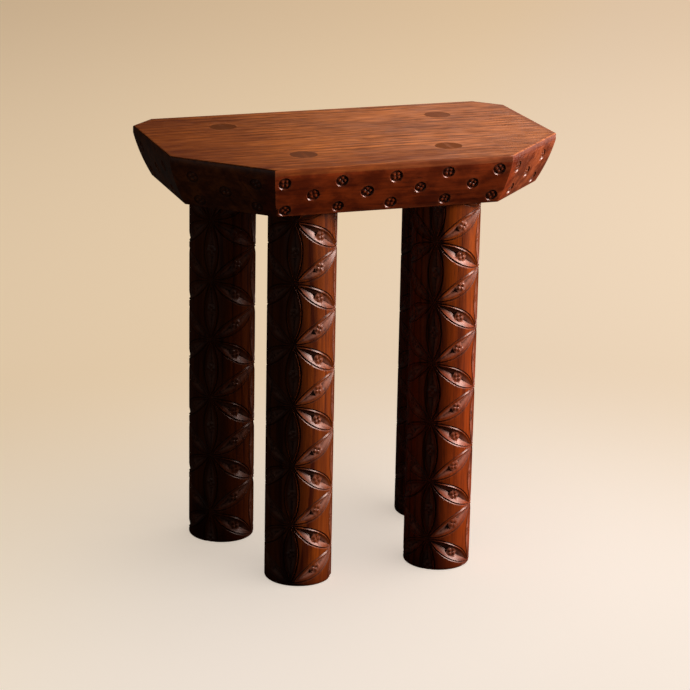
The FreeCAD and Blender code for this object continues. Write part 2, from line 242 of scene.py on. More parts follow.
class Sheet:
    """Feature lines and loose points on a flat sheet, in metres."""

    def __init__(self):
        self.points = []
        self.edges = []

    def line(self, points, closed=False):
        """Adds a line through points; its segments stay edges of the triangles."""
        first = len(self.points)
        self.points += [tuple(map(float, point)) for point in points]
        last = len(self.points) - 1
        self.edges += [(index, index + 1) for index in range(first, last)]
        if closed:
            self.edges.append((last, first))

    def ring(self, centre, radius, count, turn=0.0):
        """Adds a circle."""
        bearings = turn + np.arange(count) * 2 * math.pi / count
        self.line([polar(centre, radius, bearing) for bearing in bearings], closed=True)

    def fill(self, low, high, step, clearance, seed):
        """Scatters loose points over a rectangle, clear of the lines already there."""
        tree = search_tree(self.points)
        draw = random.Random(seed)
        for row in range(1, max(1, round((high[1] - low[1]) / step))):
            for column in range(1, max(1, round((high[0] - low[0]) / step))):
                offset = 0.5 * (row % 2)
                x = low[0] + (column - offset + draw.uniform(-0.2, 0.2)) * step
                y = low[1] + (row + draw.uniform(-0.2, 0.2)) * step
                if x > low[0] + clearance and tree.find((x, y, 0.0))[2] > clearance:
                    self.points.append((x, y))

    def triangles(self, keep):
        """The sheet's points and the triangles whose middles keep() accepts."""
        vectors = [Vector(point) for point in self.points]
        points, _, faces, *_ = delaunay_2d_cdt(vectors, self.edges, [], 0, 1e-7, False)
        points = np.array([tuple(point) for point in points])
        faces = np.array(faces)
        faces = faces[keep(points[faces].mean(axis=1))]
        used = np.unique(faces)
        renumber = np.full(len(points), -1)
        renumber[used] = np.arange(len(used))
        return points[used], renumber[faces]


def distance_inside(points, corners):
    """How far inside a convex polygon points lie. Its corners run anticlockwise."""
    inside = np.full(len(points), np.inf)
    for start, end in sides_of(corners):
        side = (end - start) / np.hypot(*(end - start))
        offset = points - start
        inside = np.minimum(inside, side[0] * offset[:, 1] - side[1] * offset[:, 0])
    return inside


def add_faces(mesh, verts, faces):
    """Triangles between verts, without those whose corners have become one."""
    for face in faces:
        corners = [verts[index] for index in face]
        if len(set(corners)) == 3:
            mesh.faces.new(corners)


def turned(x, y, bearing):
    """Coordinates seen from axes turned by an angle."""
    cos, sin = math.cos(bearing), math.sin(bearing)
    return x * cos + y * sin, y * cos - x * sin


def flower_depth(x, y, ground, crown, reach, pellet):
    """Depth of a four-pellet flower: its ground, with a domed pellet on each arm."""
    depth = np.full_like(x, ground)
    for across, along in ((reach, 0), (-reach, 0), (0, reach), (0, -reach)):
        away = np.hypot(x - across, y - along) / pellet
        depth = np.minimum(depth, crown + (ground - crown) * away ** 2)
    return depth


def flower_lines(sheet, centre, turn, radius, reach, pellet):
    """Lines that hold a four-pellet flower: cross grooves and rings round the pellets."""
    for arm in range(4):
        bearing = turn + arm * math.pi / 2
        middle = polar(centre, reach, bearing)
        for pellet_share, count in ((0.45, 6), (0.95, 12)):
            sheet.ring(middle, pellet * pellet_share, count, bearing)
        groove = bearing + math.pi / 4
        sheet.line([polar(centre, radius * groove_share, groove)
                    for groove_share in (0.0, 0.45, 0.93)])


# The flower left standing in a petal: pellet places, of its radius, and its wall
BOSS_REACH_SHARE = 0.5
BOSS_PELLET_SHARE = 0.42
BOSS_CROWN = 0.7 * MM
BOSS_FOOT = 0.9 * MM
BOSS_WALL_SLOPE = 2.2
BOSS_STEPS = 22

# The depth of cut that counts as the darkest, for the painted shade in the cuts
FULL_CUT = 6 * MM

# How far apart points stand along a cut and over the plain skin, the rays from each node,
# and the rounding of a leg's foot
CUT_STEP = 1.5 * MM
SKIN_STEP = 2.1 * MM
NODE_RAY = 7.5 * MM
FOOT_EASE = 2 * MM

# Which of the noise's fields the hand wander follows
WANDER_SEED = 7


class Petal:
    """One petal between two nodes of the unrolled leg, with its own small faults."""

    def __init__(self, start, end, sizes, seed):
        draw = random.Random(seed)
        self.middle = (np.array(start) + np.array(end)) / 2
        span = np.array(end) - np.array(start)
        self.half_length = np.hypot(*span) / 2
        self.axis = span / np.hypot(*span)
        self.sideways = np.array([-self.axis[1], self.axis[0]])
        wide = sizes.petal_half_width
        self.arc = (self.half_length ** 2 + wide ** 2) / (2 * wide)
        self.drop = self.arc - wide
        self.scribe = sizes.scribe_centre + draw.uniform(-0.12, 0.12) * MM
        self.scribe_half = sizes.scribe_half_width * draw.uniform(0.88, 1.1)
        self.scribe_depth = sizes.scribe_depth * draw.uniform(0.8, 1.15)
        self.rim = self.scribe + self.scribe_half + draw.uniform(0.0, 0.3) * MM
        self.slope = sizes.pit_slope * draw.uniform(0.9, 1.08)
        self.boss_at = np.array([draw.uniform(-0.8, 0.8), draw.uniform(-0.3, 0.3)]) * MM
        self.boss = sizes.boss_radius * draw.uniform(0.92, 1.04)
        self.boss_turn = math.radians(draw.uniform(-14, 14))
        self.ground = sizes.boss_depth * draw.uniform(0.85, 1.15)
        self.pellets = (self.boss * BOSS_REACH_SHARE, self.boss * BOSS_PELLET_SHARE)

    def tip(self, inside):
        """Where the outline moved inward by a distance meets the axis."""
        return math.sqrt(max((self.arc - inside) ** 2 - self.drop ** 2, 0.0))

    def place(self, along, across):
        """A point of the petal's own axes, on the sheet."""
        return self.middle + along * self.axis + across * self.sideways

    def draw_lines(self, sheet, step):
        """Every line where the petal's surface folds."""
        for inside in (self.scribe - self.scribe_half, self.scribe, self.rim):
            tip = self.tip(inside)
            along = np.linspace(-tip, tip, 2 * math.ceil(tip / step) + 1)
            across = np.sqrt((self.arc - inside) ** 2 - along ** 2) - self.drop
            across[[0, -1]] = 0.0
            for side in (1, -1):
                sheet.line([self.place(a, side * b) for a, b in zip(along, across)])
        tip = self.tip(self.rim)
        for side in (1, -1):
            near = self.boss_at[0] + side * (self.boss + 0.2 * MM)
            steps = np.linspace(near, side * tip, math.ceil(abs(tip) / step))
            sheet.line([self.place(along, 0.0) for along in steps])
        centre = self.place(*self.boss_at)
        bearing = math.atan2(self.axis[1], self.axis[0])
        for radius in (self.boss, self.boss + BOSS_FOOT):
            sheet.ring(centre, radius, BOSS_STEPS, bearing)
        flower_lines(sheet, centre, bearing + self.boss_turn, self.boss, *self.pellets)

    def depth(self, points):
        """How deep the petal cuts at each point."""
        offset = points - self.middle
        along = offset @ self.axis
        across = offset @ self.sideways
        inside = self.arc - np.hypot(along, np.abs(across) + self.drop)
        scribe = self.scribe_depth * (1 - np.abs(inside - self.scribe) / self.scribe_half)
        pit = np.clip((inside - self.rim) * self.slope, 0, None)
        x = along - self.boss_at[0]
        y = across - self.boss_at[1]
        flower = flower_depth(*turned(x, y, self.boss_turn), self.ground, BOSS_CROWN,
                              *self.pellets)
        out = np.hypot(x, y) - self.boss
        flower = np.where(out > 0, self.ground + out * BOSS_WALL_SLOPE, flower)
        return np.maximum(np.clip(scribe, 0, None), np.minimum(pit, flower))


# The legs

def leg_petals(sizes, spacing, top, seed):
    """Petals over the unrolled leg and their nodes, one column past each side of its seam."""
    petals = []
    nodes = []
    for column in range(-1, sizes.columns + 2):
        shift = 0.5 * (column % 2)
        next_shift = 0.5 - shift
        for row in range(-2, math.ceil(top / sizes.pitch) + 2):
            node = (column * spacing, sizes.first_node + (row + shift) * sizes.pitch)
            nodes.append(node)
            beside = sizes.first_node + (row + next_shift) * sizes.pitch
            right_up = (node[0] + spacing, beside + (sizes.pitch if next_shift < shift else 0))
            ends = ((node[0], node[1] + sizes.pitch), right_up,
                    (right_up[0], right_up[1] - sizes.pitch))
            for kind, end in enumerate(ends):
                key = f"{seed}/{column % sizes.columns}/{row}/{kind}"
                petals.append(Petal(node, end, sizes, key))
    return petals, nodes


def leg_sheet(petals, nodes, sizes, turn, top, seed):
    """The unrolled leg's lines and points."""
    sheet = Sheet()
    margin = 4 * MM
    for petal in petals:
        low = petal.middle - petal.half_length - margin
        high = petal.middle + petal.half_length + margin
        if (high > 0).all() and (low < (turn, top)).all():
            petal.draw_lines(sheet, CUT_STEP)
    lean = math.atan2(sizes.pitch / 2, turn / sizes.columns)
    ray = (math.pi / 2 + lean) / 2
    for node in nodes:
        if -NODE_RAY < node[0] < turn + NODE_RAY and -NODE_RAY < node[1] < top + NODE_RAY:
            for bearing in (0.0, ray, math.pi - ray, math.pi, math.pi + ray, -ray):
                sheet.line([polar(node, NODE_RAY * part, bearing)
                            for part in (0.0, 0.3, 0.65, 1.0)])
    for edge in (0.0, turn):
        sheet.line([(edge, z) for z in np.linspace(0, top, round(top / SKIN_STEP))])
    for z in (0.0, 0.12 * FOOT_EASE, 0.45 * FOOT_EASE, FOOT_EASE, top):
        sheet.line([(u, z) for u in np.linspace(0, turn, round(turn / CUT_STEP))])
    sheet.fill((0.0, 0.0), (turn, top), SKIN_STEP, 0.55 * MM, seed)
    return sheet


def wander(points, radius, reach, seed):
    """Shifts points by a slow noise that joins up round the leg and is the same each run."""
    noise.seed_set(WANDER_SEED)
    moved = points.copy()
    for index, (u, z) in enumerate(points):
        spot = Vector((*polar((0.0, 0.0), 1.6, u / radius), z / (22 * MM) + 17 * seed))
        moved[index] += reach * np.array(noise.noise_vector(spot)[:2])
    return moved


def carve_leg(corner, order, sizes, facing):
    """The mesh of one leg: carved post, eased foot and wedged tenon."""
    (low, high), centre = LEGS[corner], MIDDLES[corner]
    radius = (high.x - low.x) / 2
    top = PLANK[0].z
    turn = 2 * math.pi * radius
    petals, nodes = leg_petals(sizes, turn / sizes.columns, top, corner)
    sheet = leg_sheet(petals, nodes, sizes, turn, top, order)
    points, faces = sheet.triangles(
        lambda middles: ((middles > 0) & (middles < (turn, top))).all(axis=1))
    depth = np.zeros(len(points))
    for petal in petals:
        near = (np.abs(points - petal.middle) < petal.half_length + 2 * MM).all(axis=1)
        depth[near] = np.maximum(depth[near], petal.depth(points[near]))

    moved = wander(points, radius, sizes.jitter, order)
    hold_ends = np.clip(np.minimum(points[:, 1], top - points[:, 1]) / (6 * MM), 0, 1)
    moved[:, 1] = points[:, 1] + (moved[:, 1] - points[:, 1]) * hold_ends
    foot = np.clip(FOOT_EASE - points[:, 1], 0, FOOT_EASE)
    rounded = radius - FOOT_EASE + np.sqrt(FOOT_EASE ** 2 - foot ** 2)
    out = np.minimum(radius - depth, rounded)
    mesh = bmesh.new()
    depth_layer = mesh.verts.layers.float.new("depth")
    verts = []
    for bearing, reach, z, cut in zip(facing + moved[:, 0] / radius, out, moved[:, 1], depth):
        verts.append(mesh.verts.new((centre.x + reach * math.sin(bearing),
                                     centre.y - reach * math.cos(bearing), z)))
        verts[-1][depth_layer] = cut / FULL_CUT
    add_faces(mesh, verts, faces)
    seam = [vert for vert, point in zip(verts, points) if min(point[0], turn - point[0]) < TINY]
    bmesh.ops.remove_doubles(mesh, verts=seam, dist=2 * TINY)
    close_foot(mesh, centre, radius)
    add_tenon(mesh, centre, top, high.z)
    return mesh


def rim_loop(mesh, z, centre):
    """The open edge's verts at a height, in order round a centre."""
    rim = {vert for edge in mesh.edges if edge.is_boundary for vert in edge.verts
           if abs(vert.co.z - z) < TINY}
    return sorted(rim, key=lambda v: math.atan2(v.co.y - centre.y, v.co.x - centre.x))


def join_loops(mesh, lower, upper):
    """Quads between two rings of as many verts."""
    for a, b, c, d in zip(lower, lower[1:] + lower[:1], upper[1:] + upper[:1], upper):
        mesh.faces.new((a, b, c, d))


def close_foot(mesh, centre, radius):
    """Closes the foot with a flat disc of two rings."""
    outer = rim_loop(mesh, 0.0, centre)
    for part in (0.72, 0.3):
        away = [(vert.co.xy - centre.xy).normalized() * radius * part for vert in outer]
        inner = [mesh.verts.new((centre.x + x, centre.y + y, 0.0)) for x, y in away]
        join_loops(mesh, inner, outer)
        outer = inner
    middle = mesh.verts.new((*centre.xy, 0.0))
    for vert, following in zip(outer, outer[1:] + outer[:1]):
        mesh.faces.new((middle, following, vert))


# The tenon that shows in the seat, and the kerf that its wedge fills
TENON_RADIUS = 14 * MM
KERF_DEPTH = 40 * MM
KERF_HALF_MOUTH = 2.1 * MM
KERF_HALF_ROOT = 0.8 * MM
TENON_EASE = 0.3 * MM
ARC_STEPS = 26


def half_round(half_gap, radius, side):
    """Points of a half circle left standing beside a gap that runs along Y."""
    start = -math.acos(half_gap / radius)
    turn = 0.0 if side > 0 else math.pi
    for index in range(ARC_STEPS + 1):
        yield Vector(polar((0.0, 0.0), radius, start - 2 * start * index / ARC_STEPS + turn))


def add_tenon(mesh, centre, shoulder, top):
    """Builds the kerfed tenon up from the post's open top."""
    levels = ((shoulder, KERF_HALF_ROOT, TENON_RADIUS),
              (top - KERF_DEPTH, KERF_HALF_ROOT, TENON_RADIUS),
              (top - TENON_EASE, KERF_HALF_MOUTH, TENON_RADIUS),
              (top, KERF_HALF_MOUTH, TENON_RADIUS - TENON_EASE))
    rings = [[[mesh.verts.new((centre.x + p.x, centre.y + p.y, z))
               for p in half_round(half_gap, radius, side)] for side in (1, -1)]
             for z, half_gap, radius in levels]
    foot = rings[0][0] + rings[0][1]
    right, left = rings[1]
    join_loops(mesh, foot, right + left)
    for lower, upper in zip(rings[1:], rings[2:]):
        for low_arc, high_arc in zip(lower, upper):
            join_loops(mesh, low_arc, high_arc)
    for arc in rings[-1]:
        mesh.faces.new(arc)
    mesh.faces.new((right[-1], left[0], left[-1], right[0]))

    outer = [vert for vert in rim_loop(mesh, shoulder, centre)
             if (vert.co.xy - centre.xy).length > 1.2 * TENON_RADIUS]
    sheet = Sheet()
    for loop in (outer, foot):
        sheet.line(flat(loop), closed=True)
    points, faces = sheet.triangles(lambda middles: in_rim(middles, flat(outer), centre)
                                    & beyond(middles, centre, TENON_RADIUS))
    verts = outer + foot
    tree = search_tree(flat(verts))
    add_faces(mesh, [verts[tree.find((*point, 0.0))[1]] for point in points], faces)


# The plank

# Stamps on each leaning side: share of the way along the side, share of the way down it.
# The sides run as the outline does, so the front's stamps run from left to right.
FRONT_STAMPS = (
    (0.0, 0.19), (0.265, 0.19), (0.51, 0.17), (0.745, 0.14), (0.985, 0.15),
    (0.135, 0.5), (0.38, 0.5), (0.63, 0.47), (0.875, 0.48),
    (0.0, 0.86), (0.25, 0.82), (0.5, 0.8), (0.76, 0.8), (0.99, 0.82),
)
CUT_STAMPS = ((0.12, 0.23), (0.81, 0.26), (0.49, 0.5), (0.15, 0.78), (0.84, 0.8))
LEFT_CUT_STAMPS = ((0.14, 0.26), (0.86, 0.25), (0.5, 0.53), (0.14, 0.86), (0.86, 0.8))
SMALL_CUT_STAMPS = ((0.5, 0.22), (0.5, 0.76))
STAMP_LAYOUT = (FRONT_STAMPS, CUT_STAMPS, CUT_STAMPS, SMALL_CUT_STAMPS, FRONT_STAMPS,
                SMALL_CUT_STAMPS, CUT_STAMPS, LEFT_CUT_STAMPS)
STAMP_CROWN = 0.05 * MM
STAMP_MARGIN = 0.6 * MM
STAMP_STEPS = 28
SIDE_STEP = 4 * MM
LEAN_ROWS = 12
FLAT_STEP = 9 * MM
SOCKET_STEPS = 48
RIM = 1.5 * MM

# Inward along a side for each length that its outline moves in, at the eight-sided corners
TUCK = math.tan(math.pi / 8)


def plank_outline(sizes, inset):
    """The plank's eight corners, anticlockwise from the front left, moved inward."""
    low, high = PLANK
    shrink = (2 - math.sqrt(2)) * inset
    front = sizes.front_corner - shrink
    back = sizes.back_corner - shrink
    left, right = low.x + inset, high.x - inset
    near, far = low.y + inset, high.y - inset
    return np.array([
        (left + front, near), (right - front, near), (right, near + front),
        (right, far - back), (right - back, far), (left + back, far),
        (left, far - back), (left, near + front),
    ])


def lean_inset(sizes, share_down):
    """How far a leaning side stands in, at a share of the way down."""
    return sizes.undercut * share_down - 4 * sizes.belly * share_down * (1 - share_down)


def key_of(point):
    """A point's place to a hundredth of a millimetre, to find its vert again."""
    return (round(point[0] / TINY), round(point[1] / TINY))


def ring_of(mesh, corners, counts, z):
    """A ring of verts round the plank, with each side's own number of points."""
    return [mesh.verts.new((*(start + (end - start) * index / count), z))
            for (start, end), count in zip(sides_of(corners), counts) for index in range(count)]


def stamp_depth(x, y, stamps, radius, pellets):
    """Depth of one stamp about its own middle."""
    wall = np.clip((radius - np.hypot(x, y)) / stamps.wall, 0, 1) * stamps.depth
    return np.minimum(wall, flower_depth(x, y, stamps.depth, STAMP_CROWN, *pellets))


def lean_side(mesh, side, sizes, stamps, borders):
    """One leaning side, stamped, between borders at its top, bottom, left and right."""
    band_foot = PLANK[1].z - sizes.band
    height = band_foot - PLANK[0].z
    start, end = np.roll(plank_outline(sizes, 0.0), -side, axis=0)[:2]
    along = end - start
    width = np.hypot(*along)
    along = along / width
    inward = np.array([-along[1], along[0]])
    slant = math.hypot(height, sizes.undercut)
    lean = math.atan2(sizes.undercut, height)

    sheet = Sheet()
    rows = [slant * row / LEAN_ROWS for row in range(LEAN_ROWS + 1)]
    left_line = [(TUCK * lean_inset(sizes, down / slant), down) for down in rows]
    right_line = [(width - x, down) for x, down in left_line]
    first, last = left_line[-1][0], right_line[-1][0]
    shares_along = np.arange(len(borders[0])) / (len(borders[0]) - 1)
    top_line = [(width * part, 0.0) for part in shares_along]
    bottom_line = [(first + (last - first) * part, slant) for part in shares_along]
    for line in (left_line, right_line, top_line, bottom_line):
        sheet.line(line)
    draw = random.Random(f"stamps/{side}")
    placed = []
    for part_along, part_down in STAMP_LAYOUT[side]:
        room = width - 2 * TUCK * lean_inset(sizes, part_down)
        x = width / 2 + (part_along - 0.5) * (room - 2 * stamps.radius - 4 * MM)
        x += draw.uniform(-1.0, 1.0) * MM
        down = slant * part_down + draw.uniform(-0.7, 0.7) * MM
        turn = draw.uniform(0, math.pi / 2)
        radius = stamps.radius * draw.uniform(0.93, 1.05)
        pellets = (radius * stamps.pellet_reach_share, radius * stamps.pellet_radius_share)
        clear = radius + STAMP_MARGIN
        down = min(max(down, clear), slant - clear)
        corner = TUCK * lean_inset(sizes, (down + radius) / slant) + clear
        x = min(max(x, corner), width - corner)
        placed.append((x, down, turn, radius, pellets, draw.uniform(0.75, 1.15)))
        for out in (radius, radius - stamps.wall):
            sheet.ring((x, down), out, STAMP_STEPS, turn)
        flower_lines(sheet, (x, down), turn, radius - stamps.wall, *pellets)
    sheet.fill((0.0, 0.0), (width, slant), SIDE_STEP, 1.2 * MM, side)

    def on_side(middles):
        x, down = middles.T
        tucked = TUCK * lean_inset(sizes, down / slant)
        return (x > tucked) & (x < width - tucked) & (down > 0) & (down < slant)

    points, faces = sheet.triangles(on_side)
    depth = np.zeros(len(points))
    for x, down, turn, radius, pellets, press in placed:
        away = points - (x, down)
        near = np.hypot(*away.T) < radius
        cut = press * stamp_depth(*turned(*away[near].T, turn), stamps, radius, pellets)
        depth[near] = np.maximum(depth[near], cut)
    lines = (top_line, bottom_line, left_line, right_line)
    known = {key_of(point): vert for line, verts in zip(lines, borders)
             for point, vert in zip(line, verts)}
    depth_layer = mesh.verts.layers.float["depth"]
    verts = []
    for (x, down), cut in zip(points, depth):
        vert = known.get(key_of((x, down)))
        if vert is None:
            part = down / slant
            spot = start + along * x + inward * lean_inset(sizes, part)
            spot = spot + inward * cut * math.cos(lean)
            vert = mesh.verts.new((*spot, band_foot - height * part + cut * math.sin(lean)))
            vert[depth_layer] = cut / FULL_CUT
        verts.append(vert)
    add_faces(mesh, verts, faces[:, ::-1])


def carve_plank(sizes, stamps):
    """The plank's mesh: top, eased edge, band, stamped leaning sides and sockets."""
    mesh = bmesh.new()
    mesh.verts.layers.float.new("depth")
    low, high = PLANK
    outline = plank_outline(sizes, 0.0)
    counts = [max(3, round(np.hypot(*(end - start)) / SIDE_STEP))
              for start, end in sides_of(outline)]
    band_foot = high.z - sizes.band
    levels = [(sizes.ease + RIM, high.z)]
    for step in range(4):
        bearing = math.pi / 2 * step / 3
        levels.append((sizes.ease * (1 - math.sin(bearing)),
                       high.z - sizes.ease * (1 - math.cos(bearing))))
    levels += [(0.0, (high.z + band_foot) / 2), (0.0, band_foot), (sizes.undercut, low.z)]
    *rings, bottom = [ring_of(mesh, plank_outline(sizes, inset), counts, z)
                      for inset, z in levels]
    for upper, lower in zip(rings, rings[1:]):
        join_loops(mesh, lower, upper)
    foot = rings[-1]

    starts = [sum(counts[:side]) for side in range(9)]
    corner_edges = []
    for corner, start in enumerate(starts[:8]):
        verts = [foot[start]]
        for row in range(1, LEAN_ROWS):
            part = row / LEAN_ROWS
            spot = plank_outline(sizes, lean_inset(sizes, part))[corner]
            verts.append(mesh.verts.new((*spot, band_foot - (band_foot - low.z) * part)))
        corner_edges.append(verts + [bottom[start]])
    for side in range(8):
        first, last = starts[side:side + 2]
        rows = [ring[first:last] + [ring[last % len(ring)]] for ring in (foot, bottom)]
        lean_side(mesh, side, sizes, stamps,
                  (*rows, corner_edges[side], corner_edges[(side + 1) % 8]))

    upper = flat_face(mesh, rings[0], sizes, sizes.ease + RIM)
    lower = flat_face(mesh, bottom, sizes, sizes.undercut)
    for high_rim, low_rim in zip(upper, lower):
        join_loops(mesh, low_rim[::-1], high_rim[::-1])
    layer = mesh.verts.layers.float.new("edge")
    on_top = [vert for vert in mesh.verts if vert.co.z > high.z - 10 * TINY]
    for vert, inside in zip(on_top, distance_inside(flat(on_top), outline)):
        vert[layer] = inside
    return mesh


def flat_face(mesh, ring, sizes, inset):
    """The plank's top or underside. The verts round its four round holes are returned."""
    z = ring[0].co.z
    sheet = Sheet()
    sheet.line(flat(ring), closed=True)
    rims = []
    for centre in MIDDLES.values():
        spots = [polar(centre, sizes.socket_radius, 2 * math.pi * index / SOCKET_STEPS)
                 for index in range(SOCKET_STEPS)]
        rims.append([mesh.verts.new((*spot, z)) for spot in spots])
        sheet.line(flat(rims[-1]), closed=True)
    known = {key_of(vert.co): vert for vert in sum(rims, ring)}
    sheet.fill(flat(ring).min(axis=0), flat(ring).max(axis=0), FLAT_STEP, 3 * MM, "flat")

    def on_face(middles):
        inside = distance_inside(middles, plank_outline(sizes, inset)) > TINY
        for centre in MIDDLES.values():
            inside &= beyond(middles, centre, sizes.socket_radius)
        return inside

    points, faces = sheet.triangles(on_face)
    add_faces(mesh, [known.get(key_of(point)) or mesh.verts.new((*point, z))
                     for point in points], faces)
    return rims


# The mean rise to a vert's neighbours where a fold starts to count, and its full range
FOLD_START = 0.06
FOLD_FULL = 0.22


def mark_folds(data):
    """Stores, for each vert, how far the surface folds inward and how far outward there."""
    def read(items, name, width, kind=float):
        values = np.empty(len(items) * width, kind)
        items.foreach_get(name, values)
        return values.reshape(-1, width)

    places = read(data.vertices, "co", 3)
    normals = read(data.vertices, "normal", 3)
    ends = read(data.edges, "vertices", 2, int).T
    rise = np.zeros(len(places))
    valence = np.zeros(len(places))
    for start, end in (ends, ends[::-1]):
        away = places[end] - places[start]
        away /= np.maximum(np.linalg.norm(away, axis=1), 1e-9)[:, None]
        np.add.at(rise, start, (away * normals[start]).sum(axis=1))
        np.add.at(valence, start, 1)
    rise /= np.maximum(valence, 1)
    for name, sign in (("hollow", 1), ("ridge", -1)):
        marks = np.clip((sign * rise - FOLD_START) / FOLD_FULL, 0, 1)
        data.attributes.new(name, "FLOAT", "POINT").data.foreach_set("value", marks)


def new_object(name, mesh):
    """Turns a bmesh into an object in the scene."""
    data = bpy.data.meshes.new(name)
    mesh.to_mesh(data)
    mesh.free()
    made = bpy.data.objects.new(name, data)
    bpy.context.scene.collection.objects.link(made)
    return made


def new_piece(name, mesh, material, node, crease=32):
    """Turns a bmesh into a piece that stands for a CAD node, and gives it its finish."""
    bmesh.ops.dissolve_degenerate(mesh, dist=0.2 * TINY, edges=mesh.edges)
    bmesh.ops.recalc_face_normals(mesh, faces=mesh.faces)
    piece = new_object(name, mesh)
    data = piece.data
    mark_folds(data)
    data.shade_smooth()
    data.set_sharp_from_angle(angle=math.radians(crease))
    data.materials.append(material)
    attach(piece, "root")
    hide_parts(node)


# Materials

def feed(node, **inputs):
    """Gives a node's inputs values or joins them to other nodes'. i0 and i1 go by number."""
    for key, value in inputs.items():
        socket = node.inputs[int(key[1:]) if key[1:].isdigit() else key.replace("_", " ")]
        if isinstance(value, Value):
            node.id_data.links.new(value.socket, socket)
        else:
            socket.default_value = (*value, 1.0) if socket.type == "RGBA" else value
    return node


def add_node(tree, kind, settings=(), **inputs):
    """A node with its settings and inputs."""
    node = tree.nodes.new(f"ShaderNode{kind}")
    for key, value in settings:
        setattr(node, key, value)
    return feed(node, **inputs)


class Value:
    """What a node puts out. Sums, ramps, mixes and textures are built on it."""

    def __init__(self, node, output=0):
        self.socket = node.outputs[output]
        self.tree = node.id_data

    def maths(self, operation, first, second=0.0):
        """The result of a sum on two numbers or values."""
        return Value(add_node(self.tree, "Math", [("operation", operation)], i0=first, i1=second))

    def __rsub__(self, other):
        return self.maths("SUBTRACT", other, self)

    def clamped(self):
        """The same sum, kept between nought and one."""
        self.socket.node.use_clamp = True
        return self

    def ramp(self, low, high, low_to=0.0, high_to=1.0):
        """The value moved smoothly from one range to another."""
        return Value(add_node(self.tree, "MapRange", [("interpolation_type", "SMOOTHSTEP")],
                              Value=self, From_Min=low, From_Max=high, To_Min=low_to,
                              To_Max=high_to))

    def blend(self, kind, mask, first, second):
        """Two colours blended in one of the mix node's ways."""
        settings = [("data_type", "RGBA"), ("blend_type", kind)]
        return Value(add_node(self.tree, "Mix", settings, i0=mask, i6=first, i7=second), 2)

    def mix(self, first, second):
        """Two colours mixed by the value."""
        return self.blend("MIX", self, first, second)

    def tinted(self, tint, mask=1.0):
        """The colour times a tint."""
        return self.blend("MULTIPLY", mask, self, tint)

    def vector(self, operation, *others, output=0):
        """The result of a sum on vectors."""
        inputs = {f"i{index}": other for index, other in enumerate((self, *others))}
        node = add_node(self.tree, "VectorMath", [("operation", operation)], **inputs)
        return Value(node, output)

    def scale(self, vector):
        """A vector or colour times the value."""
        settings = [("operation", "SCALE")]
        return Value(add_node(self.tree, "VectorMath", settings, i0=vector, i3=self))

    def noise(self, along, scale, detail, roughness=0.5, output="Fac"):
        """A noise texture, drawn out along the grain, which is Z."""
        return Value(add_node(self.tree, "TexNoise", Vector=self.vector("MULTIPLY", (1, 1, along)),
                              Scale=scale, Detail=detail, Roughness=roughness), output)

    def axes(self):
        """A vector's X, Y and Z."""
        parts = add_node(self.tree, "SeparateXYZ", Vector=self)
        return [Value(parts, index) for index in range(3)]


# Plain signs for sums on values, where a | b is the larger one
for sign, operation in (("add", "ADD"), ("sub", "SUBTRACT"), ("mul", "MULTIPLY"),
                        ("truediv", "DIVIDE"), ("or", "MAXIMUM")):
    setattr(Value, f"__{sign}__", lambda first, second, operation=operation:
            first.maths(operation, first, second))


def coordinates(tree):
    """The stool's own coordinates."""
    return Value(add_node(tree, "TexCoord"), "Object")


def attribute(tree, name):
    """A mark that the mesh carries."""
    return Value(add_node(tree, "Attribute", [("attribute_name", name)]), "Fac")


def new_group(name, inputs, outputs):
    """A shader node group with named default values: its inputs' values, and its sink."""
    group = bpy.data.node_groups.new(name, "ShaderNodeTree")
    kinds = {1: "NodeSocketFloat", 3: "NodeSocketVector", 4: "NodeSocketColor"}
    for direction, sockets in (("INPUT", inputs), ("OUTPUT", outputs)):
        for label, default in sockets.items():
            kind = kinds[len(default) if isinstance(default, tuple) else 1]
            socket = group.interface.new_socket(label, in_out=direction, socket_type=kind)
            socket.default_value = default
    source = group.nodes.new("NodeGroupInput")
    return {label: Value(source, label) for label in inputs}, group.nodes.new("NodeGroupOutput")


FIGURE = ("Rings", "Bands", "Fibres", "Dashes", "Tone")
BLACK = (0.0, 0.0, 0.0, 1.0)

# The painted pinkish sheen in the cuts, what worn ridges turn to, the wood's duller and brighter
# patches, the streaks on the seat, the clouds on its sides, and the warmer floor on the left
PAINTED_SHEEN = (0.4, 0.22, 0.17)
RUBBED = (0.3, 0.12, 0.05)
PATCH_TINTS = ((0.78, 0.79, 0.88), (1.2, 1.18, 1.0))
STREAK_TINTS = ((1.15, 1.13, 1.1), (0.66, 0.6, 0.56))
CLOUD_TINTS = ((0.66, 0.58, 0.62), (1.35, 1.35, 1.4))
FLOOR_TINTS = ((1.03, 1.005, 0.93), (1.0, 1.0, 1.0))

# How much of the dark wood the bands and fibres show
BAND_SHARE = 0.4
FIBRE_SHARE = 0.25


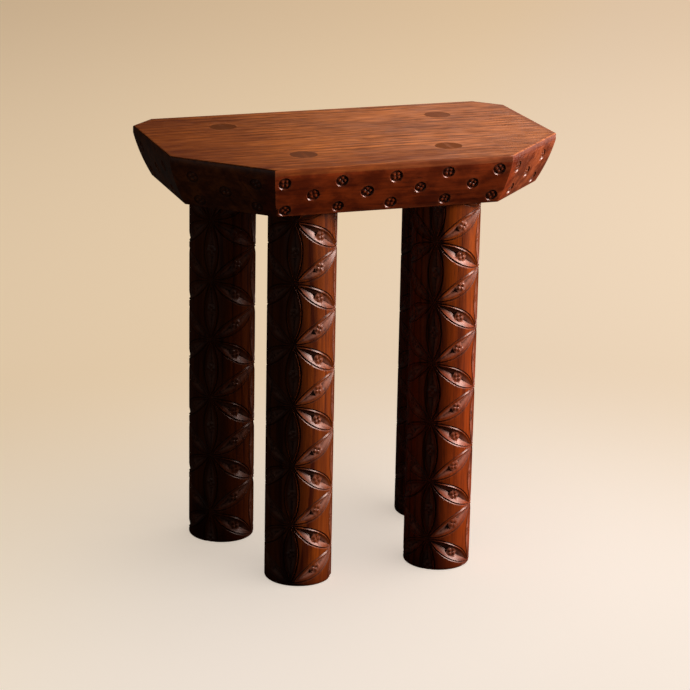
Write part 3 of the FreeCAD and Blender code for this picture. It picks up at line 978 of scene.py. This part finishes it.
def wood_figure_group():
    """Growth rings, bands, fibres and short dark dashes of wood whose grain runs along Z."""
    given, sink = new_group("Wood figure", {
        "Vector": (0.0, 0.0, 0.0), "Ring Spacing": 0.009, "Waver": 0.006, "Line Width": 0.5,
    }, dict.fromkeys(FIGURE, 0.0))
    vector = given["Vector"]
    waver = vector.noise(0.3, 13.0, 1.0, output="Color").vector("SUBTRACT", (0.5, 0.5, 0.5))
    bent = vector.vector("ADD", given["Waver"].scale(waver))
    away = bent.vector("MULTIPLY", (1, 1, 0.03)).vector("LENGTH", output="Value")
    turns = away / given["Ring Spacing"] + bent.noise(0.1, 60.0, 2.0) * 0.6
    saw = turns.maths("FRACT", turns + 100.0)
    late_wood = saw.ramp(0.98 - given["Line Width"], 0.85) * saw.ramp(0.88, 0.98, 1.0, 0.0)
    patches = vector.noise(0.25, 30.0, 2.0)
    feed(sink, Rings=late_wood * patches.ramp(0.33, 0.6, 0.15, 1.0),
         Bands=bent.noise(0.055, 200.0, 4.0, 0.7).ramp(0.36, 0.64),
         Fibres=bent.noise(0.035, 560.0, 4.0, 0.62).ramp(0.3, 0.7),
         Dashes=bent.noise(0.05, 950.0, 2.0).ramp(0.58, 0.7) * patches.ramp(0.3, 0.6),
         Tone=vector.noise(0.35, 12.0, 3.0, 0.6))


def finish_group():
    """Painted shade in the folds, the cuts and the bosses, a painted pinkish sheen in the cuts,
    worn ridges and an uneven gloss.
    """
    given, sink = new_group("Painted shade and finish", {
        "Colour": BLACK, "Wax": BLACK, "Hollow": 0.0, "Ridge": 0.0, "Depth": 0.0,
        "Filling": 1.0, "Wear": 0.4, "Roughness": 0.3,
    }, {"Colour": BLACK, "Roughness": 0.3})
    depth = given["Depth"]
    place = coordinates(depth.tree)
    patchy = place.noise(1.0, 190.0, 3.0)
    # Painted shade in the folds, in patches
    fold = given["Hollow"] * patchy.ramp(0.2, 0.7, 0.55, 0.95)
    # Painted shade on the flowers left standing deep in the cuts, then darker with depth in every
    # cut
    boss = given["Ridge"] * depth.ramp(0.08, 0.14, 0.0, 0.6)
    dim = depth.ramp(0.03, 0.12, 0.0, 0.1) | boss
    # A painted pinkish sheen in the cuts, deeper cuts more
    sheened = (depth.ramp(0.1, 0.35, 0.0, 0.33) * given["Filling"]).mix(given["Colour"], PAINTED_SHEEN)
    mask = ((fold | dim) * given["Filling"]).clamped()
    rubbed = (given["Ridge"] * given["Wear"] * patchy.ramp(0.35, 0.65, 0.3, 1.0)).clamped()
    uneven = given["Roughness"] + place.noise(1.0, 38.0, 4.0).ramp(0.3, 0.7, -0.05, 0.08)
    shaded = mask.mix(sheened, given["Wax"])
    feed(sink, Colour=rubbed.blend("SCREEN", rubbed, shaded, RUBBED),
         Roughness=(uneven + mask * 0.25).clamped())


def new_material(name):
    """A material with a bare Principled shader, its node tree and that shader."""
    material = bpy.data.materials.new(name)
    material.use_nodes = True
    tree = material.node_tree
    return material, tree, tree.nodes["Principled BSDF"]


def wood_figure(tree, along, pith, spacing, waver, line_width):
    """The wood figure's values, for a grain along X or Z that is measured from the pith."""
    place = coordinates(tree).vector("SUBTRACT", pith)
    if along == "X":
        x, y, z = place.axes()
        place = Value(add_node(tree, "CombineXYZ", X=y, Y=z, Z=x))
    figure = add_node(tree, "Group", [("node_tree", bpy.data.node_groups["Wood figure"])],
                      Vector=place, Ring_Spacing=spacing, Waver=waver, Line_Width=line_width)
    return {name: Value(figure, name) for name in FIGURE}


def figured_wood(figure, light, dark, wax, ring_share=0.6, dash_share=0.4):
    """The wood's colour from its figure, in brighter and duller patches."""
    mask = figure["Rings"] * ring_share + figure["Bands"] * BAND_SHARE
    wood = (mask + figure["Fibres"] * FIBRE_SHARE).clamped().mix(light, dark)
    wood = wood.tinted(figure["Tone"].ramp(0.3, 0.7).mix(*PATCH_TINTS))
    return (figure["Dashes"] * dash_share).mix(wood, wax)


def finish_wood(tree, shader, wood, figure, filling, wear, bump, roughness, **looks):
    """Painted shade and sheen, wear and relief over a wood's colour, joined to the shader with its
    other looks.
    """
    marks = {name.title(): attribute(tree, name) for name in ("hollow", "ridge", "depth")}
    finish = add_node(tree, "Group", [("node_tree", bpy.data.node_groups["Painted shade and finish"])],
                      Colour=wood, Wax=bpy.context.scene.stool_woods.wax, Filling=filling,
                      Wear=wear, Roughness=roughness, **marks)
    relief = figure["Fibres"] * -0.4 - figure["Dashes"]
    bumped = add_node(tree, "Bump", Height=relief, Strength=bump, Distance=0.3 * MM)
    feed(shader, Base_Color=Value(finish, "Colour"), Roughness=Value(finish, "Roughness"),
         Normal=Value(bumped), **looks)


def seat_wood():
    """The plank's wood: a dry worn top and deep red varnished sides."""
    woods = bpy.context.scene.stool_woods
    material, tree, shader = new_material("seat wood")
    figure = wood_figure(tree, "X", (0.0, 0.25, 0.37), 0.0105, 0.018, 0.28)
    x, y, z = coordinates(tree).axes()
    front, top_height = PLANK[0].y, PLANK[1].z

    # The worn face, with the band under its front edge half as worn
    on_front = x.maths("ABSOLUTE", x).ramp(122 * MM, 130 * MM, 1.0, 0.0)
    face = z.ramp(top_height - 1.5 * MM, top_height - 0.3 * MM)
    band = z.ramp(top_height - 7.3 * MM, top_height - 6.2 * MM)
    top = band * (on_front * 0.33) | face

    # Each part's early and late wood, then the figure
    # The top's right end carries a painted pinkish sheen in its colour
    worn = x.ramp(-170 * MM, 170 * MM).mix(woods.top_left, woods.top_right_with_sheen)
    on_right = x.ramp(126 * MM, 140 * MM)
    varnished = x.ramp(-140 * MM, -126 * MM).mix(
        woods.left_cut, on_right.mix(woods.side_light, woods.right_cut_with_sheen))
    wood = figured_wood(figure, top.mix(varnished, worn), top.mix(woods.side_dark_and_shade, woods.top_dark),
                        woods.wax, top * 0.5 + 0.3, 0.6)

    # Streaks on the face, clouds on the sides and painted shade in the stamps
    grain = Value(add_node(tree, "CombineXYZ", X=y, Y=z, Z=x))
    streaks = grain.noise(0.1, 340.0, 2.0).ramp(0.42, 0.62).mix(*STREAK_TINTS)
    clouds = grain.noise(0.6, 62.0, 3.0, 0.6).ramp(0.38, 0.64).mix(*CLOUD_TINTS)
    wood = wood.tinted(streaks, face).tinted(clouds, 1.0 - top)
    wood = attribute(tree, "depth").ramp(0.04, 0.15, 0.0, 0.55).mix(wood, woods.wax)

    # Painted shade on the top: darker at the left, away from the window, along the front, where
    # the sheen fades, and round the edge; painted shade on the band of the right cuts too
    left = x.ramp(-200 * MM, 20 * MM, 0.64, 0.0)
    near = y.ramp(front + 14 * MM, front + 78 * MM, 0.66, 0.0)
    near = near * figure["Bands"].ramp(0.0, 0.8, 0.7, 1.0) * x.ramp(0.0, 110 * MM, 1.0, 0.4)
    rim = near | attribute(tree, "edge").ramp(1 * MM, 9 * MM, 0.4, 0.0)
    cut_band_shade = (band - face).clamped() * on_right
    wood = (rim * face | left * top | cut_band_shade * 0.5).mix(wood, woods.side_dark_and_shade)
    finish_wood(tree, shader, wood, figure, 0.4, 0.15, 0.4, roughness=top * 0.25 + 0.3,
                Coat_Weight=0.8 - top * 0.8, Coat_Roughness=0.3, Specular_IOR_Level=0.12)
    return material


def end_colour_with_painted_light(x, paler):
    """The end grain with painted light: palest on the back left tenon, whose leg the main window
    leaves out, dullest on the front left one, and a little brighter on the right.
    """
    tone = x.ramp(-110 * MM, -95 * MM, 2.1, 0.78) + x.ramp(-20 * MM, 20 * MM, 0.0, 0.2)
    return (tone * paler).scale(bpy.context.scene.stool_woods.end_grain)


def leg_wood():
    """The legs' wood: upright grain under a deep glossy varnish, and dry tenon ends."""
    woods = bpy.context.scene.stool_woods
    material, tree, shader = new_material("leg wood")
    figure = wood_figure(tree, "Z", (0.02, 0.16, 0.0), 0.009, 0.014, 0.5)
    x, _, z = coordinates(tree).axes()
    red = z.ramp(220 * MM, 340 * MM).mix(woods.leg_red, woods.leg_amber)
    light = x.ramp(-10 * MM, 10 * MM).mix(woods.leg_light, red)
    wood = figured_wood(figure, light, woods.leg_dark_and_shade, woods.wax, 0.62)
    # Painted shade: darker towards the foot
    wood = z.ramp(3 * MM, 28 * MM, 0.6, 0.0).mix(wood, woods.leg_dark_and_shade)
    end = z.ramp(PLANK[1].z - 0.6 * MM, PLANK[1].z - 0.2 * MM)
    wood = end.mix(wood, (figure["Dashes"] * 0.4).mix(end_colour_with_painted_light(x, 1.0), woods.wax))
    finish_wood(tree, shader, wood, figure, 1.0, 0.03, 0.25, roughness=end * 0.2 + 0.4,
                Coat_Weight=(1.0 - end) * 0.43, Coat_Roughness=0.3, Specular_IOR_Level=0.08)
    return material


def wedge_wood():
    """The wedges: dry end grain, a shade lighter than the tenons round them."""
    material, tree, shader = new_material("wedge wood")
    figure = wood_figure(tree, "Z", (0.05, 0.05, 0.0), 0.004, 0.002, 0.5)
    x = coordinates(tree).axes()[0]
    wood = figured_wood(figure, end_colour_with_painted_light(x, 1.3), end_colour_with_painted_light(x, 1.0),
                        bpy.context.scene.stool_woods.wax)
    finish_wood(tree, shader, wood, figure, 1.0, 0.0, 0.3, roughness=0.6,
                Specular_IOR_Level=0.08)
    return material


# Operators

class STOOL_OT_node_groups(bpy.types.Operator):
    """Builds the shader node groups that the woods share"""

    bl_idname = "stool.node_groups"
    bl_label = "Shared finishes"

    def execute(self, context):
        wood_figure_group()
        finish_group()
        return {"FINISHED"}


class STOOL_OT_plank(bpy.types.Operator):
    """Shapes and stamps the seat plank"""

    bl_idname = "stool.plank"
    bl_label = "Seat plank"

    def execute(self, context):
        mesh = carve_plank(context.scene.stool_plank, context.scene.stool_stamps)
        new_piece("stamped_plank", mesh, seat_wood(), "seat_plank", crease=40)
        return {"FINISHED"}


# How far each leg is turned about its own axis, in degrees
LEG_TURNS = {"front_left": -30.6, "front_right": 52.9, "back_left": 53.6, "back_right": -33.1}


class STOOL_OT_legs(bpy.types.Operator):
    """Carves the four legs"""

    bl_idname = "stool.legs"
    bl_label = "Legs"

    def execute(self, context):
        material = leg_wood()
        for order, (corner, turn) in enumerate(LEG_TURNS.items()):
            mesh = carve_leg(corner, order, context.scene.stool_rosettes, math.radians(turn))
            new_piece(f"carved_leg_{corner}", mesh, material, f"leg_{corner}")
        return {"FINISHED"}


class STOOL_OT_wedges(bpy.types.Operator):
    """Gives the four wedges their wood"""

    bl_idname = "stool.wedges"
    bl_label = "Wedges"

    def execute(self, context):
        material = wedge_wood()
        for corner in CORNERS:
            data = frame["nodes"][f"wedge_{corner}"].data
            data.materials.clear()
            data.materials.append(material)
        return {"FINISHED"}


# The floor's width, the middle of its painted pool of light, how much of it glows, so that the
# stool's shadow stays faint, how much of its colour it throws back on the stool, and the faint
# fill
FLOOR_RADIUS = 9.0
POOL_MIDDLE = (-0.05, -0.5, 0.0)
GLOW_SHARE = 0.6
BOUNCE_SHARE = 0.03
FILL_SHARE = 0.027

# The lights' two tints, the window's place and size, and where the camera looks
WARM = (1.0, 0.77, 0.69)
PALE = (1.0, 0.93, 0.88)
WINDOW = (67, 1.45, 1.0)
WINDOW_SIZE = (0.7, 1.2)
MIDDLE = (0.0, 0.0, 0.25)
LOOK_AT = (-5 * MM, 0.0, 223.8 * MM)


def round_stool(turn, distance, height):
    """A place round the stool: degrees from the front towards the right."""
    bearing = math.radians(turn)
    return (distance * math.sin(bearing), -distance * math.cos(bearing), height)


def area_light(name, place, size, power, only=(), never=(), tint=WARM, aim=MIDDLE):
    """A rectangular soft light that faces a point. It falls on some objects only, or on
    all but some."""
    data = bpy.data.lights.new(name, "AREA")
    data.shape = "RECTANGLE"
    data.size, data.size_y = size
    data.energy = power
    data.color = tint
    light = bpy.data.objects.new(name, data)
    light.location = place
    light.rotation_euler = (Vector(aim) - Vector(place)).to_track_quat("-Z", "Y").to_euler()
    light.visible_camera = False
    bpy.context.scene.collection.objects.link(light)
    receivers = bpy.data.collections.new(f"lit by {name}")
    for objects, state in ((only, "INCLUDE"), (never, "EXCLUDE")):
        for receiver in objects:
            receivers.objects.link(receiver)
            receivers.collection_objects[-1].light_linking.link_state = state
    light.light_linking.receiver_collection = receivers
    return data


class STOOL_OT_stage(bpy.types.Operator):
    """Sets up the pale floor, the lights and the camera"""

    bl_idname = "stool.stage"
    bl_label = "Stage"

    def execute(self, context):
        studio = context.scene.stool_studio
        self.make_lights(self.make_floor(studio))
        self.make_room(context, studio)
        self.make_camera(context, studio)
        context.scene.view_settings.view_transform = "Standard"
        return {"FINISHED"}

    def make_floor(self, studio):
        """A wide round floor with a painted pool of light, paler near the stool and brighter to
        the right, that throws little light back up.
        """
        mesh = bmesh.new()
        bmesh.ops.create_circle(mesh, cap_ends=True, segments=96, radius=FLOOR_RADIUS)
        floor = new_object("floor", mesh)
        material, tree, shader = new_material("pale floor")
        place = coordinates(tree)
        away = place.vector("DISTANCE", POOL_MIDDLE, output="Value")
        # Painted pool of light: paler near the stool, darker far off
        pale = away.ramp(0.4, 1.2).mix(studio.floor_near, studio.floor_middle)
        pale = away.ramp(1.2, 4.5).mix(pale, studio.floor_far)
        across = place.vector("DOT_PRODUCT", (1.0, -0.6, 0.0), output="Value")
        pale = pale.tinted(across.ramp(-0.45, 0.0).mix(*FLOOR_TINTS))
        # Painted light: brighter towards the right, as if lit from there
        floor_with_painted_light = place.axes()[0].ramp(-1.2, 4.2, 0.84, 1.75).scale(pale)
        seen = Value(add_node(tree, "LightPath"), "Is Camera Ray")
        feed(shader, Base_Color=seen.mix(studio.floor_near * BOUNCE_SHARE, floor_with_painted_light),
             Emission_Color=seen.mix((0.0, 0.0, 0.0), floor_with_painted_light), Emission_Strength=GLOW_SHARE,
             Roughness=1.0, Specular_IOR_Level=0.0)
        floor.data.materials.append(material)
        return floor

    def make_lights(self, floor):
        """A broad window on the right, a softer one above the back, and the floor's own."""
        far_leg, near_leg = (bpy.data.objects[f"carved_leg_{corner}"]
                             for corner in ("back_left", "front_right"))
        far = (far_leg, frame["nodes"]["wedge_back_left"])
        window = round_stool(*WINDOW)
        area_light("window", window, WINDOW_SIZE, 78.0, never=(floor, *far))
        area_light("window past the legs", window, WINDOW_SIZE, 22.0, only=far)
        area_light("skylight", (0.6, 0.45, 1.35), (0.9, 0.7), 1.5, never=[floor],
                   aim=(0.0, 0.0, 0.4))
        area_light("backlight", round_stool(135, 1.7, 0.5), (1.6, 1.0), 8.0,
                   never=(floor, near_leg, far_leg))
        area_light("far wall", round_stool(-50, 1.8, 0.15), (1.6, 1.2), 1.3, never=[floor],
                   tint=PALE)
        area_light("floor light", (1.05, -0.45, 2.4), (1.0, 1.0), 1.0, only=[floor],
                   tint=(1.0, 1.0, 1.0), aim=(0.0, 0.0, 0.0)).type = "SUN"
        # With its new type the light has another class, so it is fetched anew
        overhead = bpy.data.lights["floor light"]
        overhead.energy = math.pi * (1.0 - GLOW_SHARE)
        overhead.angle = math.radians(80)

    def make_room(self, context, studio):
        """A pale room to look at that adds only a faint fill."""
        world = bpy.data.worlds.new("room")
        world.use_nodes = True
        seen = Value(add_node(world.node_tree, "LightPath"), "Is Camera Ray")
        feed(world.node_tree.nodes["Background"],
             Color=seen.mix(studio.floor_near * FILL_SHARE, studio.floor_far))
        context.scene.world = world

    def make_camera(self, context, studio):
        """The photograph's view, worked out from the stool's corners in it."""
        turn, rise = studio.turn, studio.rise
        level = math.cos(rise)
        back = Vector((-math.sin(turn) * level, -math.cos(turn) * level, math.sin(rise)))
        data = bpy.data.cameras.new("camera")
        data.lens = studio.lens
        data.sensor_width = 36.0
        data.clip_end = 50.0
        camera = bpy.data.objects.new("camera", data)
        aim = (-back).to_track_quat("-Z", "Y").to_matrix().to_4x4()
        camera.matrix_world = (Matrix.Translation(Vector(LOOK_AT) + back * studio.distance) @ aim
                               @ Matrix.Rotation(studio.roll, 4, "Z"))
        context.scene.collection.objects.link(camera)
        context.scene.camera = camera


class STOOL_PT_panel(bpy.types.Panel):
    """Lists the stool's steps and sizes"""

    bl_idname = "STOOL_PT_panel"
    bl_label = "Carved stool"
    bl_space_type = "VIEW_3D"
    bl_region_type = "UI"
    bl_category = "Stool"

    def draw(self, context):
        for operator in OPERATORS:
            self.layout.operator(operator.bl_idname)
        for name, group in GROUPS.items():
            box = self.layout.box()
            box.label(text=group.__doc__)
            for key in group.__annotations__:
                label = key.replace("_", " ").capitalize()
                box.prop(getattr(context.scene, name), key, text=label)


OPERATORS = (STOOL_OT_node_groups, STOOL_OT_plank, STOOL_OT_legs, STOOL_OT_wedges,
             STOOL_OT_stage)
CLASSES = (*GROUPS.values(), *OPERATORS, STOOL_PT_panel)


def register():
    """Adds the stool's classes and its settings on the scene."""
    for kind in CLASSES:
        bpy.utils.register_class(kind)
    for name, group in GROUPS.items():
        setattr(bpy.types.Scene, name, PointerProperty(type=group))


def unregister():
    """Takes the stool's classes and settings away again."""
    for name in GROUPS:
        delattr(bpy.types.Scene, name)
    for kind in reversed(CLASSES):
        bpy.utils.unregister_class(kind)


def main():
    register()
    bpy.ops.stool.node_groups()
    bpy.ops.stool.plank()
    bpy.ops.stool.legs()
    bpy.ops.stool.wedges()
    bpy.ops.stool.stage()


if __name__ == "__main__":
    main()
